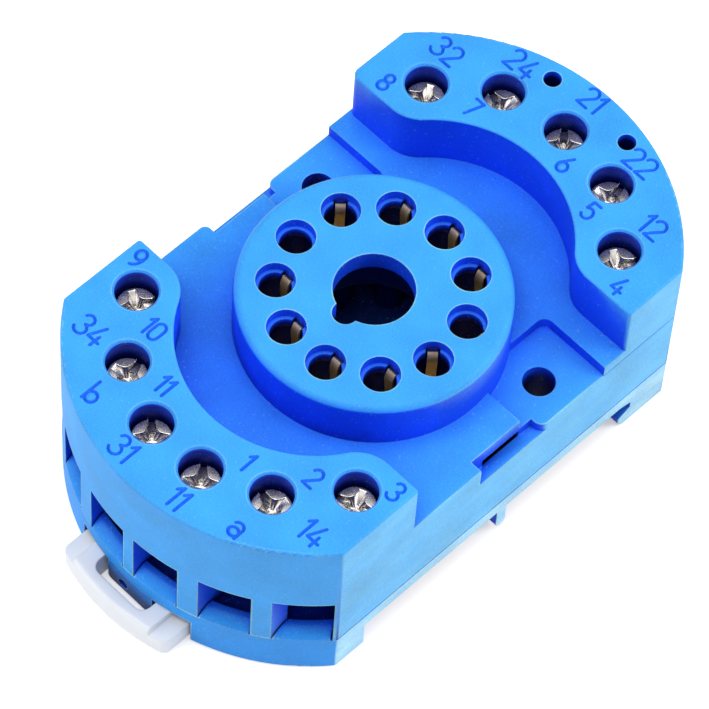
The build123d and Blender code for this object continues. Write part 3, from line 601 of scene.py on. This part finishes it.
cutters = []
for side in (-1, 1):
    near, far = side * (POCKET_WALL - WALL_SKIN), side * (POCKET_WALL - POCKET_DEPTH)
    pocket = slab(-POCKET_HALF, POCKET_HALF, near, far, POCKET_LOW, POCKET_HIGH)
    cutters.append(solid("hook_pocket", pocket))
    near, far = side * (FLAT + OVERSHOOT), side * (FLAT - LINE_DEPTH)
    for first, last, bottom, top in (JOINT_LINE, MOULD_LINE):
        mark = solid("witness_line", slab(first, last, near, far, bottom, top))
        # The line's cut faces take the darker groove blue, a dark joint.
        mark.data.materials.append(blue_pbt_groove_shade_and_joint)
        cutters.append(mark)
print("pockets and lines:", len(cutters))

# %% [markdown]
# ## Strokes of the engraved numbers
# The terminals are numbered by shallow grooves in the block tops. A font would give outlines of
# uneven width. The real ones were cut with one round tool, so each glyph here is a few strokes, and
# each stroke becomes a groove of one width with round ends. Every glyph stands on a height of 1,
# and comes with its own width.


# %% Glyph strokes
def curve(cx, cy, rx, ry, start, stop, steps=8):
    """Points on an ellipse between two angles in degrees."""
    turns = [math.radians(start + (stop - start) * i / steps) for i in range(steps + 1)]
    return [(cx + rx * math.cos(t), cy + ry * math.sin(t)) for t in turns]


def ring(cx, cy, rx, ry, start=0):
    """A whole ellipse as two half strokes."""
    return [curve(cx, cy, rx, ry, first, first + 180) for first in (start, start + 180)]


GLYPHS = {
    "0": (0.54, [
        [(0.02, 0.72), (0.02, 0.28)] + curve(0.27, 0.28, 0.25, 0.28, 180, 360)[1:],
        [(0.52, 0.28), (0.52, 0.72)] + curve(0.27, 0.72, 0.25, 0.28, 0, 180)[1:],
    ]),
    "1": (0.26, [[(0.02, 0.76), (0.22, 1.0)], [(0.22, 1.0), (0.22, 0.0)]]),
    "2": (0.56, [
        curve(0.28, 0.73, 0.26, 0.27, 165, -35),
        [(0.49, 0.58), (0.03, 0.0)],
        [(0.03, 0.0), (0.55, 0.0)],
    ]),
    "3": (0.56, [
        curve(0.27, 0.76, 0.24, 0.24, 160, -80),
        curve(0.27, 0.26, 0.28, 0.26, 80, -160),
    ]),
    "4": (0.60, [
        [(0.36, 1.0), (0.03, 0.26)],
        [(0.03, 0.26), (0.60, 0.26)],
        [(0.42, 0.52), (0.42, 0.0)],
    ]),
    "5": (0.56, [
        [(0.50, 1.0), (0.10, 1.0)],
        [(0.10, 1.0), (0.06, 0.54)],
        curve(0.27, 0.32, 0.27, 0.32, 130, -145, 10),
    ]),
    "6": (0.56, ring(0.28, 0.29, 0.26, 0.29) + [[(0.04, 0.38), (0.40, 1.0)]]),
    "7": (0.54, [[(0.02, 1.0), (0.52, 1.0)], [(0.52, 1.0), (0.18, 0.0)]]),
    "8": (0.56, ring(0.28, 0.76, 0.22, 0.24, -90) + ring(0.28, 0.26, 0.26, 0.26, -90)),
    "9": (0.56, ring(0.28, 0.71, 0.26, 0.29) + [curve(0.14, 0.60, 0.40, 0.60, 10, -80)]),
    "a": (0.56, ring(0.27, 0.20, 0.24, 0.20) + [
        curve(0.27, 0.46, 0.24, 0.22, 155, 0) + [(0.51, 0.0)],
    ]),
    "b": (0.56, [[(0.04, 1.0), (0.04, 0.0)]] + ring(0.29, 0.27, 0.25, 0.27)),
}
print("glyphs:", " ".join(GLYPHS))

# %% [markdown]
# ## Cutting the numbers
# A groove's cutter is wide at the top and narrow at the bottom. One outline is drawn round each
# stroke at two levels and joined. Small pin numbers stand on the inner side of each screw, and the
# larger code of the relay's contact on the outer side. The text reads towards -Y, with its top
# to +X.

# %% Groove cutters
BLOCK_TOP = cad_high.z / MM
GROOVE_LEVELS = ((0.06, 0.195), (-0.22, 0.1))
GLYPH_GAP = 0.14
CAP_STEPS = 6


def outline(points, reach):
    """A closed outline at that distance round an open stroke, with round ends."""
    ends = [points[1] - points[0], points[-1] - points[-2]]
    sides = []
    for i, point in enumerate(points):
        before = point - points[i - 1] if i else ends[0]
        after = points[i + 1] - point if i < len(points) - 1 else ends[1]
        along = (before.normalized() + after.normalized()).normalized()
        sides.append(Vector((-along.y, along.x)) * reach)
    caps = [Matrix.Rotation(-math.pi * k / CAP_STEPS, 2) for k in range(1, CAP_STEPS)]
    rim = [p + s for p, s in zip(points, sides)]
    rim += [points[-1] + turn @ sides[-1] for turn in caps]
    rim += [p - s for p, s in zip(reversed(points), reversed(sides))]
    rim += [points[0] + turn @ -sides[0] for turn in caps]
    return rim


def number_cutters(text, centre, height):
    """One cutter for each stroke of a number."""
    width = sum(GLYPHS[c][0] for c in text) + GLYPH_GAP * (len(text) - 1)
    start = -width / 2
    strokes = []
    for character in text:
        for stroke in GLYPHS[character][1]:
            points = []
            for x, y in stroke:
                rise, across = (y - 0.5) * height, (start + x) * height
                points.append(Vector((centre[0] + rise, centre[1] - across)))
            levels = [(BLOCK_TOP + z, outline(points, reach)) for z, reach in GROOVE_LEVELS]
            groove = solid("stroke", lambda work: stacked(work, levels))
            # The groove's cut faces take the darker groove blue, painted shade.
            groove.data.materials.append(blue_pbt_groove_shade_and_joint)
            strokes.append(groove)
        start += GLYPHS[character][0] + GLYPH_GAP
    return strokes


print("block tops at mm:", round(BLOCK_TOP, 2))

# %% Numbers in the block tops
PIN_HEIGHT = 2.1
CODE_HEIGHT = 2.4
PIN_NUMBERS = {
    "1": (-22.44, -5.92),
    "2": (-19.12, -11.38),
    "3": (-14.57, -17.69),
    "4": (17.06, -16.11),
    "5": (21.17, -8.22),
    "6": (23.29, -2.75),
    "7": (21.36, 8.01),
    "8": (17.26, 16.01),
    "9": (-14.55, 17.60),
    "10": (-18.89, 10.73),
    "11": (-22.37, 5.49),
}
CONTACT_CODES = {
    "32": (24.28, 14.56),
    "24": (28.62, 8.42),
    "21": (30.70, 0.65),
    "22": (28.82, -7.72),
    "12": (24.32, -13.67),
    "34": (-23.34, 14.72),
    "b": (-27.79, 9.34),
    "31": (-29.95, 3.16),
    "11": (-29.88, -4.28),
    "a": (-27.86, -10.39),
    "14": (-23.29, -15.54),
}
for labels, height in ((PIN_NUMBERS, PIN_HEIGHT), (CONTACT_CODES, CODE_HEIGHT)):
    for text, centre in labels.items():
        cutters += number_cutters(text, centre, height)
print("solids to cut away:", len(cutters))
cut(housing, cutters)
print("housing materials:", [m.name for m in housing.data.materials])
work_in(housing)

# %% [markdown]
# ## Terminal screws
# Each screw has a combined recess, a cross with flared wings and a slot right across, so either
# kind of driver turns it. The CAD screw has plain straight cuts. This one is turned as rings of
# points about its axis, with a real 0.5 mm thread, and the recess is cut with a tapered cross whose
# inner corners are hollow. A Screw modifier could wind the thread too, but rings of points join it
# to the head in one closed mesh, which can be cut. A narrow bevel on every edge of the head catches
# the lamps.

# %% Turned blank
PITCH = 0.5
RINGS_A_TURN = 5
AROUND = 48
first_low, first_high = (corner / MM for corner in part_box("terminal_screw_01"))
SCREW_LENGTH = first_high.z - first_low.z
HEAD_RADIUS = (first_high.x - first_low.x) / 2
HEAD_HEIGHT = 1.7
TOP_EDGE = 0.12
TOP_ROUND = 0.04
UNDER_EDGE = 0.1
CREST = 1.5
ROOT = 1.2


def screw_blank(work):
    """Head and threaded shank, from rings about the axis, with the head's top at height 0."""
    rings = [
        (0.0, [HEAD_RADIUS - TOP_EDGE] * AROUND),
        (-TOP_ROUND, [HEAD_RADIUS - TOP_ROUND] * AROUND),
        (-TOP_EDGE, [HEAD_RADIUS] * AROUND),
        (-HEAD_HEIGHT + UNDER_EDGE, [HEAD_RADIUS] * AROUND),
        (-HEAD_HEIGHT, [HEAD_RADIUS - UNDER_EDGE] * AROUND),
        (-HEAD_HEIGHT, [CREST] * AROUND),
    ]
    height = -HEAD_HEIGHT - PITCH / 2
    while height > -SCREW_LENGTH + PITCH:
        phases = [(height / PITCH + step / AROUND) % 1 for step in range(AROUND)]
        rings.append((height, [ROOT + (CREST - ROOT) * abs(2 * phase - 1) for phase in phases]))
        height -= PITCH / RINGS_A_TURN
    rings.append((-SCREW_LENGTH, [ROOT] * AROUND))
    turns = [2 * math.pi * step / AROUND for step in range(AROUND)]
    outlines = []
    for height, radii in rings:
        rim = [(r * math.cos(t), r * math.sin(t)) for r, t in zip(radii, turns)]
        outlines.append((height, rim))
    stacked(work, outlines)


print("screw length and head radius in mm:", round(SCREW_LENGTH, 2), round(HEAD_RADIUS, 2))

# %% Recess and slot
WING = [(1.72, -0.36), (1.72, 0.36), (1.2, 0.44), (0.85, 0.56), (0.68, 0.68)]
RECESS_DEPTH = 1.05
RECESS_FLOOR = 0.3
RECESS_OVER = 0.1
SLOT_HALF = 0.33
SLOT_DEPTH = 0.6


def recess(work):
    """The tapered cross: one wing and the hollow corner after it, turned to four."""
    rim = []
    for quarter in range(4):
        turn = Matrix.Rotation(math.pi / 2 * quarter, 2)
        wing = WING + [(y, x) for x, y in WING[2:4][::-1]]
        rim += [turn @ Vector(point) for point in wing]
    grow = 1 + RECESS_OVER * (1 - RECESS_FLOOR) / RECESS_DEPTH
    top, floor_rim = [p * grow for p in rim], [p * RECESS_FLOOR for p in rim]
    stacked(work, [(RECESS_OVER, top), (-RECESS_DEPTH, floor_rim)])


def straight_slot(work):
    """The slot for a flat driver, right across the head."""
    reach = HEAD_RADIUS + OVERSHOOT
    rim = [(-reach, -SLOT_HALF), (reach, -SLOT_HALF), (reach, SLOT_HALF), (-reach, SLOT_HALF)]
    stacked(work, [(OVERSHOOT, rim), (-SLOT_DEPTH, rim)])


pattern = solid("screw_pattern", screw_blank)
cut(pattern, [solid("cross", recess), solid("slot", straight_slot)])
print("screw faces before its bevel:", len(pattern.data.polygons))

# %% Bevel the head
HEAD_BEVEL = 0.05
HEAD_MARGIN = 0.05
HEAD_EDGE = math.radians(35)
work = bmesh.new()
work.from_mesh(pattern.data)
head_foot = (-HEAD_HEIGHT + HEAD_MARGIN) * MM
head_edges = []
for edge in work.edges:
    lowest = min(corner.co.z for corner in edge.verts)
    if lowest > head_foot and edge.calc_face_angle(0) > HEAD_EDGE:
        head_edges.append(edge)
width = HEAD_BEVEL * MM
bmesh.ops.bevel(work, geom=head_edges, offset=width, segments=2, profile=0.5, affect="EDGES")
work.to_mesh(pattern.data)
work.free()
pattern.data.materials.clear()
pattern.data.materials.append(screw_nickel)
pattern.data.polygons.foreach_set("material_index", [0] * len(pattern.data.polygons))
work_in(pattern)

# %% [markdown]
# ## Eleven screws
# All screws share one mesh. Eleven separate ones could be made, but they would only fill memory.
# Each stands where its CAD screw does, turned a little further than the one before, because no two
# are ever tightened alike.

# %% Place the screws
TERMINALS = range(1, 12)
SCREW_TURN = 37
for number in TERMINALS:
    node = f"terminal_screw_{number:02d}"
    low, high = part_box(node)
    screw = bpy.data.objects.new(f"clamp_screw_{number:02d}", pattern.data)
    bpy.context.scene.collection.objects.link(screw)
    place = Matrix.Translation(((low.x + high.x) / 2, (low.y + high.y) / 2, high.z))
    screw.matrix_world = place @ Matrix.Rotation(math.radians(number * SCREW_TURN), 4, "Z")
    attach(screw, frame["nodes"][node]["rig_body"])
    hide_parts(node)
bpy.data.objects.remove(pattern)
print("screws placed:", len(TERMINALS))

# %% [markdown]
# ## Clamp cages and contacts
# A clamp cage is a folded steel box that grips the wire. A contact is the brass strip that leads
# from a pin to it. Both show only inside holes, so softened copies aren't needed, and they keep
# their CAD shapes. Each gets its metal, and a bevel modifier that takes the knife edge off the
# sheared strip.

# %% Metals on their nodes
SHEARED_EDGE = math.radians(40)
METALS = {
    "clamp_cage": (cage_zinc, "zinc_plated_steel", 0.15),
    "contact": (leaf_brass, "contact_brass", 0.05),
}
for family, (material, finish, edge_mm) in METALS.items():
    for number in TERMINALS:
        node = frame["nodes"][f"{family}_{number:02d}"]
        node.data.materials.clear()
        node.data.materials.append(material)
        bevel = node.modifiers.new("soft edges", "BEVEL")
        bevel.width = edge_mm * MM
        bevel.segments = 2
        bevel.limit_method = "ANGLE"
        bevel.angle_limit = SHEARED_EDGE
        node.modifiers.new("flat faces stay flat", "WEIGHTED_NORMAL")
    print(family, "pieces:", len(TERMINALS))

# %% [markdown]
# ## The bench
# A white bench, as in a catalogue picture. It throws light back up on the walls, as white paper
# does. White paper in such a light comes out grey, so a glow is added, but only for rays that show
# the background: those from the camera and reflections, which a Light Path node tells apart. The
# glow lifts the paper to white and leaves the socket's soft shadow on it. A glow for all rays would
# light the socket from below.

# %% Bench
GREATER = {"operation": "MAXIMUM"}
BENCH_HALF = 0.6
PAPER = "#F2F2F2"
PAPER_ROUGHNESS = 0.9
PAPER_GLOW = 0.45
WHITE = "#FFFFFF"


def background_rays(tree):
    """1 for a ray that shows the background: from the camera, a reflection or through glass."""
    rays = add(tree, "ShaderNodeLightPath").outputs
    camera_ray, through_ray = rays["Is Camera Ray"], rays["Is Transmission Ray"]
    seen = add(tree, "ShaderNodeMath", GREATER, i0=camera_ray, i1=through_ray).outputs[0]
    return add(tree, "ShaderNodeMath", GREATER, i0=seen, i1=rays["Is Glossy Ray"]).outputs[0]


paper, tree, _ = new_material("bench_white_paper")
matt = add(
    tree, "ShaderNodeBsdfPrincipled", Base_Color=linear(PAPER), Roughness=PAPER_ROUGHNESS
).outputs["BSDF"]
glow = add(tree, "ShaderNodeEmission", Color=linear(WHITE), Strength=PAPER_GLOW)
lit = add(tree, "ShaderNodeAddShader", i0=matt, i1=glow.outputs["Emission"]).outputs["Shader"]
mix = add(tree, "ShaderNodeMixShader", i0=background_rays(tree), i1=matt, i2=lit)
add(tree, "ShaderNodeOutputMaterial", Surface=mix.outputs["Shader"])

square = ((-1, -1), (1, -1), (1, 1), (-1, 1))
corners = [(x * BENCH_HALF, y * BENCH_HALF, cad_low.z) for x, y in square]
floor_mesh = bpy.data.meshes.new("floor")
floor_mesh.from_pydata(corners, [], [(0, 1, 2, 3)])
floor_mesh.materials.append(paper)
floor = bpy.data.objects.new("floor", floor_mesh)
bpy.context.scene.collection.objects.link(floor)
floor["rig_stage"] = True
print("bench height in mm:", round(cad_low.z / MM, 2))

# %% [markdown]
# ## Room and lamps
# The room is pure white to the rays that show the background, and a plain level to all others, so
# colours come out about as they are written. A large lamp overhead, a little to the left, and a
# smaller one to the right give the soft shadows, and a weaker one to the left lifts them. Large
# lamps are better than small ones here, whose shadows would be hard. The Standard view transform
# leaves the colours alone.

# %% Room and lamps
ROOM_LIGHT = 0.34
world = bpy.data.worlds.new("room")
bpy.context.scene.world = world
world.use_nodes = True
tree = world.node_tree
tree.nodes.clear()
shown = background_rays(tree)
strength = add(tree, "ShaderNodeMapRange", Value=shown, i3=ROOM_LIGHT, i4=1.0).outputs[0]
air = add(tree, "ShaderNodeBackground", Color=linear(WHITE), Strength=strength)
add(tree, "ShaderNodeOutputWorld", Surface=air.outputs["Background"])


def lamp(name, place_mm, size_mm, watts):
    """A square area lamp that looks at the socket's disc."""
    data = bpy.data.lights.new(name, "AREA")
    data.energy = watts
    data.size = size_mm * MM
    thing = bpy.data.objects.new(name, data)
    place = Vector(place_mm) * MM
    turn = (-place).to_track_quat("-Z", "Y").to_matrix().to_4x4()
    thing.matrix_world = Matrix.Translation(place) @ turn
    bpy.context.scene.collection.objects.link(thing)
    return thing


overhead = lamp("overhead_lamp", (-90, 20, 650), 480, 2.4)
key = lamp("key_lamp", (330, -380, 300), 300, 1.9)
fill = lamp("fill_lamp", (-420, 300, 260), 400, 1.0)
bpy.context.scene.view_settings.view_transform = "Standard"
print("lamps:", overhead.name, key.name, fill.name)

# %% [markdown]
# ## The dressed size
# The last cell prints the dressed model's box, which can be compared with the CAD model's box
# printed when the frame loads.

# %% Print the dressed box
low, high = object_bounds()
print("dressed box in mm:", [round(v / MM, 2) for v in high - low])
